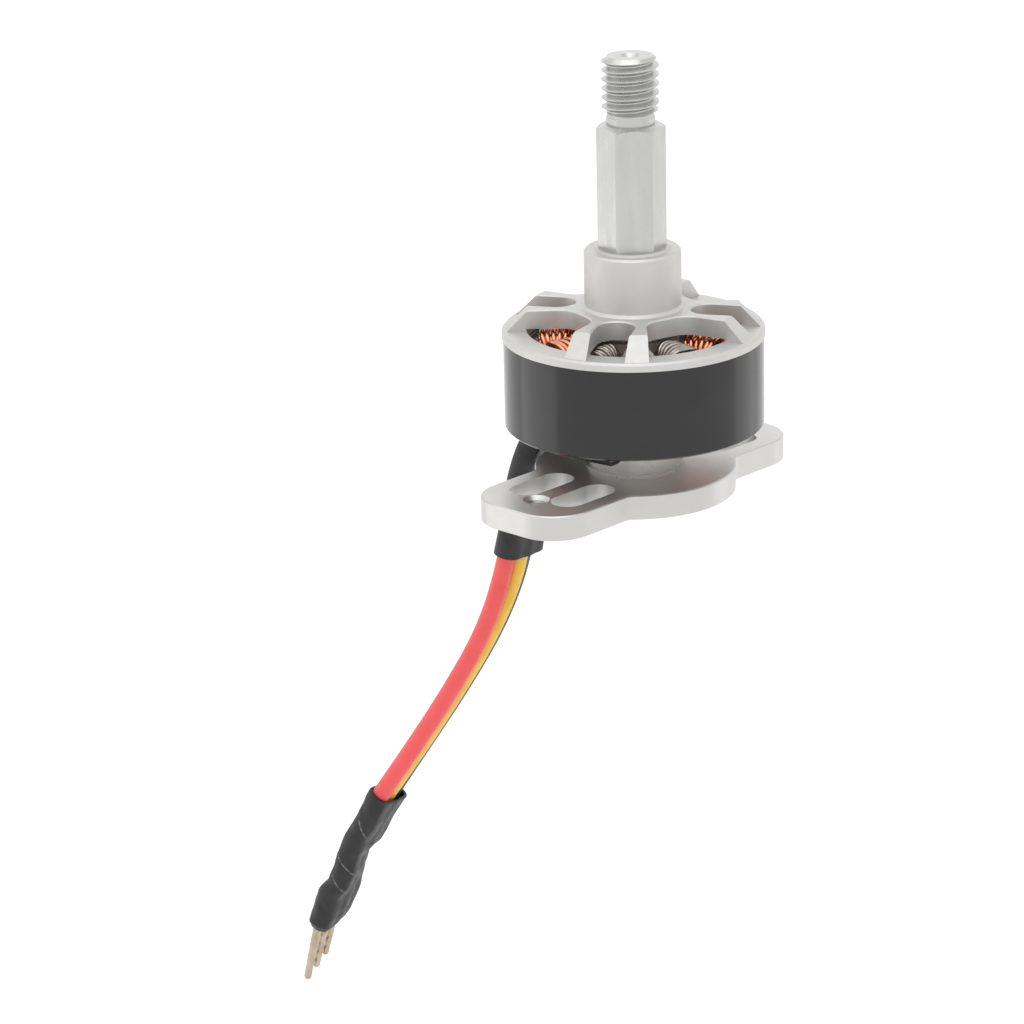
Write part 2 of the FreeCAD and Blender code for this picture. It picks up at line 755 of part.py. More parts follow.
def retaining_clip():
    ring = boolean("Cut", cylinder("clip_radius", "clip_thickness", "clip_base"),
                   cylinder("clip_groove_radius", "clip_thickness", "clip_base"))
    gap = doc.addObject("Part::Box", "clip_gap")
    gap.setExpression("Length", bound("2 * clip_radius"))
    gap.setExpression("Width", bound("2 * clip_gap_half"))
    gap.setExpression("Height", bound("clip_thickness"))
    gap.setExpression("Placement.Base.y", bound("-1 * clip_gap_half"))
    gap.setExpression("Placement.Base.z", bound("clip_base"))
    return keep(boolean("Cut", ring, gap), "retaining_clip")


# ---------------------------------------------------------------- leads

# Route of the leads in their own upright plane: distance out from the motor's axis, and height.
LEAD_ROUTE = [
    (6.6, 4.25), (9.4, 4.2), (11.45, 1.6), (12.3, -3.9), (12.45, -9.6), (15.05, -16.2),
    (19.2, -23.3), (23.45, -29.9), (27.95, -36.6), (30.9, -42.7), (33.3, -48.6)]
LEAD_SIDES = {"red": -1, "yellow": 0, "black": 1}
CONDUCTOR_TIPS = {"red": (35.2, -55.0), "yellow": (34.6, -53.7), "black": (33.8, -52.3)}
# Where each sleeve starts and stops, measured along the route from the leads' inner ends.
UPPER_SLEEVE_REACH = (-1.0, 16.3)
LOWER_SLEEVE_REACH = (45.0, 62.0)
# The sleeved star point lies beside the boss, under the windings.
STAR_POINT_ROUTE = [(-5.55, -2.6, 4.75), (-5.7, 0.9, 4.6), (-4.9, 4.0, 4.5), (-2.4, 5.6, 4.3)]


def in_lead_plane(point, offset):
    """A point of the leads' plane, offset sideways from the motor's axis."""
    return Vector(point[0], -offset, point[1])


def route_wire(points, label):
    """Straight runs joined by tangent arcs whose radius is as large as the two runs allow."""
    edges, radii = [], []
    place = points[0]
    for before, corner, after in zip(points, points[1:], points[2:]):
        back, ahead = before - corner, after - corner
        turn = math.pi - back.getAngle(ahead)
        reach = 0.45 * min(back.Length, ahead.Length)
        radius = reach / math.tan(turn / 2)
        back.normalize()
        ahead.normalize()
        start, end = corner + back * reach, corner + ahead * reach
        inward = (back + ahead).normalize()
        middle = corner + inward * (radius / math.cos(turn / 2) - radius)
        edges.append(Part.LineSegment(place, start).toShape())
        edges.append(Part.Arc(start, middle, end).toShape())
        radii.append(round(radius, 1))
        place = end
    edges.append(Part.LineSegment(place, points[-1]).toShape())
    print(label, "radii", radii)
    return Part.Wire(edges)


def stretch(wire, first, last):
    """The part of a route between two distances along it; either may lie past its straight ends."""
    edges, travelled = [], 0.0
    count = len(wire.Edges)
    for number, edge in enumerate(wire.Edges):
        low = first - travelled if number == 0 else max(first - travelled, 0.0)
        high = last - travelled if number == count - 1 else min(last - travelled, edge.Length)
        if low < edge.Length and high > 0 and high > low:
            edges.append(edge_between(edge, low, high))
        travelled += edge.Length
    return Part.Wire(edges)


def edge_between(edge, low, high):
    if isinstance(edge.Curve, Part.Line):
        origin = edge.valueAt(edge.FirstParameter)
        along = edge.tangentAt(edge.FirstParameter)
        return Part.LineSegment(origin + along * low, origin + along * high).toShape()
    ends = [edge.valueAt(edge.getParameterByLength(d)) for d in (low, (low + high) / 2, high)]
    return Part.Arc(*ends).toShape()


def first_direction(path):
    return path.Edges[0].tangentAt(path.Edges[0].FirstParameter)


def swept(path, profile, area, label):
    """Sweep a closed profile along a path and compare the volume with area times length."""
    solid = path.makePipeShell([profile], True, False)
    print(f"{label}: length {path.Length:.1f}, volume {solid.Volume:.2f}, expected {area * path.Length:.2f}")
    return solid


def round_tube(path, radius, label):
    profile = Part.Wire([Part.makeCircle(radius, path.Vertexes[0].Point, first_direction(path))])
    return swept(path, profile, math.pi * radius ** 2, label)


def flat_tube(path, across, width, thickness, label):
    """A tube whose section has two flat sides and two round ones."""
    centre, half = path.Vertexes[0].Point, thickness / 2
    side = across * (width / 2 - half)
    up = first_direction(path).cross(across).normalize() * half
    a, b, c, d = centre + side + up, centre - side + up, centre - side - up, centre + side - up
    profile = Part.Wire([
        Part.LineSegment(a, b).toShape(),
        Part.Arc(b, centre - side - across * half, c).toShape(),
        Part.LineSegment(c, d).toShape(),
        Part.Arc(d, centre + side + across * half, a).toShape()])
    area = math.pi * half ** 2 + (width - thickness) * thickness
    return swept(path, profile, area, label)


def shape_part(label, shape, placement):
    feature = doc.addObject("Part::Feature", label + "_shape")
    feature.Shape = shape
    feature.Placement = placement
    return keep(feature, label)


def bare_end(start, along, tip):
    """The bare strands: straight out of the insulation, then bent towards their tip."""
    along = along.normalize() * size("bare_straight")
    path = route_wire([start, start + along, tip], "bare end")
    return round_tube(path, size("conductor_radius"), "bare end")


def leads():
    """The three leads with their soldered inner ends, and the sleeves that hold them together."""
    plane = Placement(Vector(), Rotation(Z_AXIS, LEAD_PLANE_ANGLE))
    pitch, offset = size("lead_pitch"), size("lead_plane_offset")
    solder_length = size("solder_length")
    joints, tails = [], []
    for colour, side in LEAD_SIDES.items():
        sideways = offset + side * pitch
        points = [in_lead_plane(point, sideways) for point in LEAD_ROUTE]
        tube = round_tube(route_wire(points, colour), size("lead_radius"), "lead_" + colour)
        shape_part(f"lead_{colour}", tube, plane)
        tip = in_lead_plane(CONDUCTOR_TIPS[colour], offset + side * pitch / 2)
        shape_part(f"tinned_end_{colour}", bare_end(points[-1], points[-1] - points[-2], tip), plane)
        inward = (points[0] - points[1]).normalize()
        joints.append(Part.makeCylinder(size("solder_radius"), solder_length, points[0], inward))
        tail_start = points[0] + inward * solder_length
        elbow = tail_start + inward * size("tail_elbow")
        head = Vector(elbow.x - size("tail_lean"), elbow.y, size("tail_top"))
        tail = route_wire([tail_start, elbow, head], "tail")
        tails.append(round_tube(tail, size("tail_radius"), "tail"))
    shape_part("solder_joints", Part.makeCompound(joints), plane)
    shape_part("winding_tails", Part.makeCompound(tails), plane)

    route = route_wire([in_lead_plane(point, offset) for point in LEAD_ROUTE], "sleeves")
    space_thickness = 2 * (size("lead_radius") + size("sleeve_slack"))
    space_width = 2 * pitch + space_thickness
    wall = size("sleeve_wall")
    across = Vector(0, 1, 0)
    for label, reach in (("upper_sleeve", UPPER_SLEEVE_REACH), ("lower_sleeve", LOWER_SLEEVE_REACH)):
        path = stretch(route, *reach)
        outer = flat_tube(path, across, space_width + 2 * wall, space_thickness + 2 * wall, label)
        space = flat_tube(path, across, space_width, space_thickness, label + " space")
        shape_part(label, outer.cut(space), plane)


def star_point():
    """The windings' common joint: a bundle of copper under a flattened sleeve."""
    path = route_wire([Vector(*point) for point in STAR_POINT_ROUTE], "star point")
    across = first_direction(path).cross(Z_AXIS).normalize()

    def band(role):
        return flat_tube(path, across, size(role + "_width"), size(role + "_thickness"), role)

    shape_part("star_point_sleeve", band("star_sleeve").cut(band("star_space")), Placement())
    shape_part("star_point_joint", band("star"), Placement())


# ---------------------------------------------------------------- assembly and export


def check_everything():
    for thing in doc.Objects:
        if "Invalid" in thing.State or "Error" in thing.State:
            raise RuntimeError(f"{thing.Name} ({thing.Label}) did not compute: {thing.State}")
    for piece in sub_parts:
        if piece.Shape.isNull() or not piece.Shape.isValid() or piece.Shape.Volume <= 0:
            raise RuntimeError(piece.Label + " has no valid shape")


def export():
    os.makedirs("parts", exist_ok=True)
    for piece in sub_parts:
        piece.Shape.exportStep(f"parts/{piece.Label}.step")
        box = piece.Shape.BoundBox
        print(f"{piece.Label:28s} solids {len(piece.Shape.Solids):3d}  volume {piece.Shape.Volume:9.2f}  "
              f"z {box.ZMin:7.2f} to {box.ZMax:7.2f}")


mounting_plate()
bearing_tube()
stator()
bearing("upper", "upper_bearing_base")
bearing("lower", "lower_bearing_base")
flux_ring()
magnets()
bell_cap()
prop_shaft()
motor_shaft()
washer("upper_shim", "tube_top", "cap_hub_base - tube_top", "shaft_radius", "shim_radius")
washer("lower_shim", "clip_base + clip_thickness", "lower_bearing_base - clip_base - clip_thickness",
       "shaft_radius", "shim_radius")
retaining_clip()
leads()
star_point()
doc.recompute()
check_everything()
export()
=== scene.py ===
"""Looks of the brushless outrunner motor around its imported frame.

Metres, in the CAD frame: the origin is the centre of the mounting plate's underside, and +Z runs up
the shaft.
"""

import json
import math
import random
from collections import namedtuple

import bpy
from mathutils import Matrix, Vector


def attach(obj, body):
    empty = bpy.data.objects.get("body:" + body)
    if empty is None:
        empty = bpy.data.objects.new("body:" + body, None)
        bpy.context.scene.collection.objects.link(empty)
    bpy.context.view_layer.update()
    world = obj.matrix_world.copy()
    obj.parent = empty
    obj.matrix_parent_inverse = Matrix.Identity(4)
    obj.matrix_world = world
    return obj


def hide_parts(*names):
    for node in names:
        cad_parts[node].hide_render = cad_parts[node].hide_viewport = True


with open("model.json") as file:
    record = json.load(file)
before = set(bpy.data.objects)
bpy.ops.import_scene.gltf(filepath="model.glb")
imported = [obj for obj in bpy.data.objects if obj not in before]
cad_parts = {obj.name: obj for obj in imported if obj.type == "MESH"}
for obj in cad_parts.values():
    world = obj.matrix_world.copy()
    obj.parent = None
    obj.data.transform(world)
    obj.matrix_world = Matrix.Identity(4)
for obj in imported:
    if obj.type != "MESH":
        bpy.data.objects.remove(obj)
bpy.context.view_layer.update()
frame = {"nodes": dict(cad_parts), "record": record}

scene = bpy.context.scene

MM = 0.001
MICRON = 0.000001


# ---------------------------------------------------------------- camera, floor and light

CAMERA_PLACE = Vector((-0.248532, -0.223779, 0.113837))
CAMERA_AZIMUTH = -136.103
CAMERA_ELEVATION = 19.126
CAMERA_ROLL = -1.374
CAMERA_LENS = 139.08
SENSOR_WIDTH = 36
CLIP_NEAR, CLIP_FAR = 0.01, 20

FLOOR_HEIGHT = -0.075
FLOOR_HALF = 3.0
WORLD_STRENGTH = 1.05

# Place, the point it faces, width, height and power in watts.
SOFTBOXES = {
    "overhead_softbox": ((-0.10, -0.10, 0.62), (0, 0, 0), 0.5, 0.5, 0.85),
    "back_softbox": ((0.39, 0.375, 0.27), (0, 0, 0.01), 0.6, 0.3, 0.13),
    "left_softbox": ((-0.25, 0.24, 0.49), (0, 0, 0.01), 0.35, 0.35, 0.2)}
# Low upright lights beside the object: degrees round from the camera, width and power in watts.
SIDE_STRIPS = {"left_strip": (-95, 0.15, 0.015), "right_strip": (111, 0.10, 0.0062)}
STRIP_DISTANCE = 0.18
STRIP_HEIGHT = -0.046
STRIP_TALL = 0.055


def add_camera():
    azimuth, elevation, roll = (
        math.radians(angle) for angle in (CAMERA_AZIMUTH, CAMERA_ELEVATION, CAMERA_ROLL))
    back = Vector((math.cos(elevation) * math.cos(azimuth), math.cos(elevation) * math.sin(azimuth),
                   math.sin(elevation)))
    level = Vector((0, 0, 1)).cross(back).normalized()
    upright = back.cross(level)
    right = level * math.cos(roll) + upright * math.sin(roll)
    up = back.cross(right)
    data = bpy.data.cameras.new("camera")
    data.lens = CAMERA_LENS
    data.sensor_width = SENSOR_WIDTH
    data.clip_start, data.clip_end = CLIP_NEAR, CLIP_FAR
    camera = bpy.data.objects.new("camera", data)
    turned = Matrix((right, up, back)).transposed().to_4x4()
    camera.matrix_world = Matrix.Translation(CAMERA_PLACE) @ turned
    scene.collection.objects.link(camera)
    scene.camera = camera


def add_area_light(name, place, aim, width, height, power):
    data = bpy.data.lights.new(name, "AREA")
    data.shape = "RECTANGLE"
    data.size, data.size_y, data.energy = width, height, power
    light = bpy.data.objects.new(name, data)
    facing = (Vector(aim) - Vector(place)).to_track_quat("-Z", "Y").to_matrix().to_4x4()
    light.matrix_world = Matrix.Translation(place) @ facing
    scene.collection.objects.link(light)


def add_lights():
    world = bpy.data.worlds.new("studio")
    world.use_nodes = True
    background = world.node_tree.nodes["Background"]
    background.inputs["Color"].default_value = (1.0, 1.0, 1.0, 1.0)
    background.inputs["Strength"].default_value = WORLD_STRENGTH
    scene.world = world
    for name, setting in SOFTBOXES.items():
        add_area_light(name, *setting)
    for name, (turn, width, power) in SIDE_STRIPS.items():
        angle = math.radians(CAMERA_AZIMUTH + turn)
        place = (STRIP_DISTANCE * math.cos(angle), STRIP_DISTANCE * math.sin(angle), STRIP_HEIGHT)
        add_area_light(name, place, (0, 0, STRIP_HEIGHT), width, STRIP_TALL, power)


# ---------------------------------------------------------------- materials

# Noise in a material: how many metres its features are across, times stretch, and its detail.
Grain = namedtuple("Grain", "feature stretch detail", defaults=((1, 1, 1), 3.0))
# The part of a noise's range that its two ends are spread over.
NOISE_LOW, NOISE_HIGH = 0.3, 0.7


class Surface:
    """A Principled material with helpers that add procedural detail in the object's own metres."""

    def __init__(self, name, colour, roughness, metallic=0.0, **sockets):
        self.material = bpy.data.materials.new("look_" + name)
        self.material.use_nodes = True
        self.tree = self.material.node_tree
        self.shader = self.tree.nodes["Principled BSDF"]
        self.set("Base Color", (*colour, 1.0))
        self.set("Roughness", roughness)
        self.set("Metallic", metallic)
        for socket, value in sockets.items():
            self.set(socket.replace("_", " "), value)
        self.places = self.tree.nodes.new("ShaderNodeTexCoord").outputs["Object"]
        self.normal = None

    def set(self, socket, value):
        self.shader.inputs[socket].default_value = value

    def link(self, source, target):
        self.tree.links.new(source, target)

    def drive(self, socket, source):
        self.link(source, self.shader.inputs[socket])

    def noise(self, grain):
        mapping = self.tree.nodes.new("ShaderNodeMapping")
        mapping.inputs["Scale"].default_value = [1 / (grain.feature * s) for s in grain.stretch]
        self.link(self.places, mapping.inputs["Vector"])
        texture = self.tree.nodes.new("ShaderNodeTexNoise")
        texture.inputs["Scale"].default_value = 1.0
        texture.inputs["Detail"].default_value = grain.detail
        self.link(mapping.outputs["Vector"], texture.inputs["Vector"])
        return texture.outputs["Fac"]

    def rescale(self, factor, low, high, from_low=NOISE_LOW, from_high=NOISE_HIGH):
        node = self.tree.nodes.new("ShaderNodeMapRange")
        node.inputs["From Min"].default_value = from_low
        node.inputs["From Max"].default_value = from_high
        node.inputs["To Min"].default_value = low
        node.inputs["To Max"].default_value = high
        self.link(factor, node.inputs["Value"])
        return node.outputs["Result"]

    def math(self, operation, first, second=0):
        node = self.tree.nodes.new("ShaderNodeMath")
        node.operation = operation
        for socket, value in zip(node.inputs, (first, second)):
            if isinstance(value, (int, float)):
                socket.default_value = value
            else:
                self.link(value, socket)
        return node.outputs["Value"]

    def tint(self, grain, dark, light):
        """A colour that wanders between the two with the grain."""
        node = self.tree.nodes.new("ShaderNodeValToRGB")
        stops = ((NOISE_LOW, dark), (NOISE_HIGH, light))
        for element, (position, colour) in zip(node.color_ramp.elements, stops):
            element.position = position
            element.color = (*colour, 1.0)
        self.link(self.noise(grain), node.inputs["Fac"])
        return node.outputs["Color"]

    def blend(self, factor, first, second):
        node = self.tree.nodes.new("ShaderNodeMix")
        node.data_type = "RGBA"
        self.link(factor, node.inputs["Factor"])
        self.link(first, node.inputs["A"])
        self.link(second, node.inputs["B"])
        return node.outputs["Result"]

    def vary_colour(self, grain, dark, light):
        self.drive("Base Color", self.tint(grain, dark, light))

    def vary_roughness(self, grain, low, high):
        self.drive("Roughness", self.rescale(self.noise(grain), low, high))

    def bump(self, height, depth):
        """Relief of that depth in metres; further calls add to it."""
        node = self.tree.nodes.new("ShaderNodeBump")
        node.inputs["Distance"].default_value = depth
        self.link(height, node.inputs["Height"])
        if self.normal is not None:
            self.link(self.normal, node.inputs["Normal"])
        self.normal = node.outputs["Normal"]
        self.drive("Normal", self.normal)

    def axis_value(self, axis):
        node = self.tree.nodes.new("ShaderNodeSeparateXYZ")
        self.link(self.places, node.inputs["Vector"])
        return node.outputs[axis]

    def wave(self, axis, pitch):
        """A sine along one axis, one period per pitch."""
        return self.math("SINE", self.math("MULTIPLY", self.axis_value(axis), 2 * math.pi / pitch))

    def near_upright_line(self, x, reach):
        """One within that reach of the upright lines through x and -x on the object's X axis."""
        aside = self.math("SUBTRACT", self.math("ABSOLUTE", self.axis_value("X")), x)
        square = self.math("ADD", self.math("POWER", aside, 2),
                           self.math("POWER", self.axis_value("Y"), 2))
        return self.math("LESS_THAN", square, reach ** 2)

    def attribute(self, name):
        node = self.tree.nodes.new("ShaderNodeAttribute")
        node.attribute_name = name
        return node.outputs["Fac"]


LAMINATION_PITCH = 0.2 * MM
# The tapped holes' thread, which the CAD model leaves out.
TAPPED_HOLE_X = 12.9 * MM
TAPPED_HOLE_REACH = 0.83 * MM
TAPPED_HOLE_PITCH = 0.4 * MM
THREAD_DEPTH = 0.25 * MM
# The tube goes from bright to dull between these heights; the dull part carries a painted brown
# reflection of the copper windings.
TUBE_BRIGHT_UP_TO, TUBE_DULL_FROM = 5.5 * MM, 7.5 * MM
TUBE_METALLIC = {"bright": 0.85, "dull": 0.2}
# A grey painted reflection covers the upper ends of the coils on the motor's -X -Y side, which faces
# the camera.
PAINTED_REFLECTION_LOW, PAINTED_REFLECTION_FULL = 11.5 * MM, 12.5 * MM
PAINTED_REFLECTION_EDGE = 0.2 * MM

# For each look: colour, roughness and metallic, the grain and two colours of its tint, the grain and
# two ends of its roughness, and the grain and depth of each relief.
LOOKS = {
    "machined_aluminium": (
        ((0.55, 0.545, 0.53), 0.34, 0.75),
        (Grain(6 * MM, detail=2), (0.535, 0.53, 0.515), (0.565, 0.56, 0.545)),
        (Grain(0.7 * MM, (1, 1, 0.5)), 0.3, 0.38),
        [(Grain(0.3 * MM, (1, 1, 3)), 2 * MICRON)]),
    "blasted_aluminium": (
        ((0.56, 0.555, 0.54), 0.46, 0.62),
        (Grain(4 * MM, detail=2), (0.545, 0.54, 0.525), (0.575, 0.57, 0.555)),
        (Grain(0.5 * MM), 0.42, 0.52),
        [(Grain(0.12 * MM), 4 * MICRON)]),
    "turned_aluminium": (
        ((0.52, 0.52, 0.51), 0.3, 0.95),
        (Grain(1.2 * MM, (1, 1, 4), 2), (0.495, 0.495, 0.48), (0.545, 0.545, 0.535)),
        (Grain(0.6 * MM, (1, 1, 3)), 0.25, 0.36),
        [(Grain(1.4 * MM, (0.2, 0.2, 9), 1), 5 * MICRON),
         (Grain(0.08 * MM, (30, 30, 1), 2), 3 * MICRON)]),
    "black_ring": (
        ((0.008, 0.0078, 0.0078), 0.15, 0.0),
        (Grain(3 * MM, detail=2), (0.007, 0.0068, 0.0068), (0.010, 0.0096, 0.0096)),
        (Grain(0.8 * MM, (1, 1, 3)), 0.12, 0.18),
        [(Grain(0.5 * MM, detail=2), 1.5 * MICRON)]),
    "lamination_steel": (
        ((0.30, 0.29, 0.28), 0.42, 1.0),
        (Grain(0.6 * MM), (0.24, 0.23, 0.22), (0.36, 0.35, 0.34)),
        (Grain(0.3 * MM), 0.34, 0.5),
        []),
    "insulator_black": (
        ((0.20, 0.165, 0.14), 0.5, 0.0),
        (Grain(0.8 * MM), (0.17, 0.14, 0.12), (0.23, 0.19, 0.16)),
        (Grain(0.4 * MM), 0.42, 0.58),
        [(Grain(0.1 * MM), 8 * MICRON)]),
    # Nickel plating; its brown tint is a painted reflection of the copper windings.
    "magnet_nickel": (
        ((0.50, 0.42, 0.37), 0.42, 0.7),
        (Grain(2 * MM), (0.45, 0.37, 0.32), (0.55, 0.47, 0.42)),
        (Grain(0.6 * MM), 0.36, 0.5),
        [(Grain(0.1 * MM), 3 * MICRON)]),
    "bearing_steel": (
        ((0.62, 0.61, 0.60), 0.16, 1.0),
        (Grain(1 * MM), (0.59, 0.58, 0.57), (0.65, 0.64, 0.63)),
        (Grain(0.3 * MM, (1, 1, 6)), 0.12, 0.22),
        [(Grain(0.04 * MM, (30, 30, 1), 2), 1 * MICRON)]),
    "tinned_copper": (
        ((0.47, 0.40, 0.30), 0.4, 1.0),
        (Grain(1.1 * MM), (0.41, 0.33, 0.23), (0.53, 0.465, 0.365)),
        (Grain(0.3 * MM), 0.32, 0.46),
        [(Grain(0.3 * MM), 10 * MICRON)]),
    "pale_floor": (
        ((0.95, 0.95, 0.95), 0.9, 0.0),
        (Grain(30 * MM), (0.945, 0.945, 0.945), (0.955, 0.955, 0.955)),
        None,
        [])}
# The dark and light ends of each tint.
BRASS_TINTS = {
    "cage_brass": ((0.55, 0.38, 0.14), (0.70, 0.50, 0.22)),
    "shim_brass": ((0.60, 0.42, 0.16), (0.74, 0.54, 0.25))}
SILICONE_TINTS = {
    "silicone_red": ((0.72, 0.066, 0.066), (0.77, 0.078, 0.078)),
    "silicone_yellow": ((0.70, 0.43, 0.035), (0.77, 0.49, 0.05)),
    "silicone_black": ((0.012, 0.012, 0.013), (0.022, 0.021, 0.022))}


def plain_look(name):
    plain, tint, polish, reliefs = LOOKS[name]
    surface = Surface(name, *plain)
    surface.vary_colour(*tint)
    if polish:
        surface.vary_roughness(*polish)
    for grain, depth in reliefs:
        surface.bump(surface.noise(grain), depth)
    return surface


def brass_look(name):
    dark, light = BRASS_TINTS[name]
    brass = Surface(name, light, 0.3, 1.0)
    brass.vary_colour(Grain(0.8 * MM), dark, light)
    brass.vary_roughness(Grain(0.4 * MM), 0.22, 0.38)
    brass.bump(brass.noise(Grain(0.08 * MM)), 3 * MICRON)
    return brass


def silicone_look(name):
    dark, light = SILICONE_TINTS[name]
    silicone = Surface(name, light, 0.42, Sheen_Weight=0.08)
    silicone.vary_colour(Grain(2 * MM, detail=2), dark, light)
    silicone.vary_roughness(Grain(0.8 * MM), 0.34, 0.5)
    silicone.bump(silicone.noise(Grain(0.9 * MM, detail=2)), 20 * MICRON)
    silicone.bump(silicone.noise(Grain(0.12 * MM)), 6 * MICRON)
    return silicone


def tube_look():
    """Bright turned boss below; duller among the windings, with a painted brown reflection of their
    copper.
    """
    tube = Surface("tube_aluminium", (0.56, 0.55, 0.53), 0.32, TUBE_METALLIC["bright"])
    grain = Grain(3 * MM, detail=2)
    bright = tube.tint(grain, (0.54, 0.53, 0.51), (0.58, 0.57, 0.55))
    # The brown of the dull part is a painted reflection of the copper windings.
    dull = tube.tint(grain, (0.76, 0.64, 0.56), (0.84, 0.73, 0.65))
    inside = tube.rescale(tube.axis_value("Z"), 0.0, 1.0, TUBE_BRIGHT_UP_TO, TUBE_DULL_FROM)
    tube.drive("Base Color", tube.blend(inside, bright, dull))
    shine = tube.rescale(inside, TUBE_METALLIC["bright"], TUBE_METALLIC["dull"], 0.0, 1.0)
    tube.drive("Metallic", shine)
    tube.vary_roughness(Grain(0.6 * MM, (1, 1, 3)), 0.26, 0.38)
    return tube


def copper_look():
    copper = Surface("winding_copper", (0.72, 0.27, 0.13), 0.27, 1.0, Coat_Weight=0.6,
                     Coat_Roughness=0.12)
    enamel = copper.tint(Grain(0.7 * MM), (0.70, 0.22, 0.10), (0.95, 0.43, 0.25))
    # Grey painted reflection, blended over the enamel on the upper ends of the coils on the -X -Y
    # side.
    painted_reflection = copper.tint(Grain(0.5 * MM), (0.22, 0.19, 0.165), (0.46, 0.42, 0.38))
    reflection_cover = copper.rescale(copper.axis_value("Z"), 0.0, 1.0, PAINTED_REFLECTION_LOW, PAINTED_REFLECTION_FULL)
    for axis in ("X", "Y"):
        side = copper.rescale(copper.axis_value(axis), 1.0, 0.0, -PAINTED_REFLECTION_EDGE, PAINTED_REFLECTION_EDGE)
        reflection_cover = copper.math("MULTIPLY", reflection_cover, side)
    copper.drive("Base Color", copper.blend(reflection_cover, enamel, painted_reflection))
    copper.vary_roughness(Grain(0.3 * MM), 0.2, 0.34)
    copper.bump(copper.noise(Grain(0.1 * MM, detail=2)), 4 * MICRON)
    return copper


def shrink_look():
    """Black sleeve that turns pale where its creases are stretched."""
    shrink = Surface("heat_shrink", (0.018, 0.017, 0.018), 0.5, Specular_IOR_Level=0.36)
    flat = shrink.tint(Grain(1.6 * MM, detail=2), (0.013, 0.0125, 0.0135), (0.022, 0.021, 0.022))
    stretched = shrink.tint(Grain(0.3 * MM), (0.16, 0.16, 0.165), (0.42, 0.42, 0.43))
    patchy = shrink.rescale(shrink.noise(Grain(0.25 * MM)), 0.0, 1.0)
    crease = shrink.math("MULTIPLY", shrink.attribute("crease"), patchy)
    shrink.drive("Base Color", shrink.blend(crease, flat, stretched))
    shrink.vary_roughness(Grain(0.9 * MM), 0.4, 0.56)
    shrink.bump(shrink.noise(Grain(1.1 * MM, detail=2)), 50 * MICRON)
    shrink.bump(shrink.noise(Grain(0.16 * MM)), 8 * MICRON)
    return shrink


def make_materials():
    made = {name: plain_look(name) for name in LOOKS}
    made.update({name: brass_look(name) for name in BRASS_TINTS})
    made.update({name: silicone_look(name) for name in SILICONE_TINTS})
    made["tube_aluminium"] = tube_look()
    made["winding_copper"] = copper_look()
    made["heat_shrink"] = shrink_look()

    plate = made["machined_aluminium"]
    thread = plate.math("MULTIPLY", plate.wave("Z", TAPPED_HOLE_PITCH),
                        plate.near_upright_line(TAPPED_HOLE_X, TAPPED_HOLE_REACH))
    plate.bump(thread, THREAD_DEPTH)
    steel = made["lamination_steel"]
    steel.bump(steel.wave("Z", LAMINATION_PITCH), 20 * MICRON)
    return {name: surface.material for name, surface in made.items()}


# ---------------------------------------------------------------- mesh and curve helpers


def shown(obj, slot_name, body="stator", replaces=()):
    """Link a new piece, give it its slot's material and let it ride on its body."""
    if obj.name not in scene.collection.objects:
        scene.collection.objects.link(obj)
    obj.data.materials.append(materials[slot_name])
    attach(obj, body)
    if replaces:
        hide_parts(*replaces)
    return obj


def mesh_object(name, vertices, faces):
    data = bpy.data.meshes.new(name)
    data.from_pydata(vertices, [], faces)
    data.update()
    data.shade_smooth()
    obj = bpy.data.objects.new(name, data)
    scene.collection.objects.link(obj)
    return obj


def skin(rings, closed=False):
    """Vertices and faces through rings of points.

    Closed joins the last ring to the first; otherwise the two end rings are capped.
    """
    count = len(rings[0])
    vertices = [point for ring in rings for point in ring]
    spans = len(rings) if closed else len(rings) - 1
    faces = []
    for k in range(spans):
        low, high = k * count, (k + 1) % len(rings) * count
        for j in range(count):
            following = (j + 1) % count
            faces.append((low + j, low + following, high + following, high + j))
    if not closed:
        faces.append(tuple(reversed(range(count))))
        faces.append(tuple(range(len(vertices) - count, len(vertices))))
    return vertices, faces


def nurbs_curve(name, points):
    data = bpy.data.curves.new(name, "CURVE")
    data.dimensions = "3D"
    data.resolution_u = 20
    spline = data.splines.new("NURBS")
    spline.points.add(len(points) - 1)
    for target, point in zip(spline.points, points):
        target.co = (*point, 1.0)
    spline.order_u = 3
    spline.use_endpoint_u = True
    obj = bpy.data.objects.new(name, data)
    scene.collection.objects.link(obj)
    return obj


class Line:
    """Points along a route's own NURBS spline, and places at a distance along it."""

    def __init__(self, points):
        guide = nurbs_curve("guide", points)
        mesh = bpy.data.meshes.new_from_object(guide)
        self.points = [vertex.co.copy() for vertex in mesh.vertices]
        bpy.data.objects.remove(guide)
        bpy.data.meshes.remove(mesh)
        self.distances = [0.0]
        for before, after in zip(self.points, self.points[1:]):
            self.distances.append(self.distances[-1] + (after - before).length)
        self.length = self.distances[-1]

    def at(self, distance):
        """Place and direction at that distance; past an end the line runs straight on."""
        k = 1
        while k < len(self.points) - 1 and self.distances[k] < distance:
            k += 1
        before, after = self.points[k - 1], self.points[k]
        direction = (after - before).normalized()
        return before + direction * (distance - self.distances[k - 1]), direction

    def distance_at_height(self, height):
        """How far along the line, or straight on past its end, it last comes down to that height."""
        for k in range(len(self.points) - 1, 0, -1):
            upper, lower = self.points[k - 1].z, self.points[k].z
            if upper >= height >= lower:
                share = (upper - height) / max(upper - lower, 1e-9)
                return self.distances[k - 1] + (self.distances[k] - self.distances[k - 1]) * share
        last, direction = self.at(self.length)
        return self.length + (last.z - height) / -direction.z


def eased(values, position):
    """Smooth value at a position from (position, value) pairs."""
    for (start, low), (end, high) in zip(values, values[1:]):
        if position <= end:
            share = min(max((position - start) / (end - start), 0.0), 1.0)
            share = share * share * (3 - 2 * share)
            return low + (high - low) * share
    return values[-1][1]


# ---------------------------------------------------------------- leads

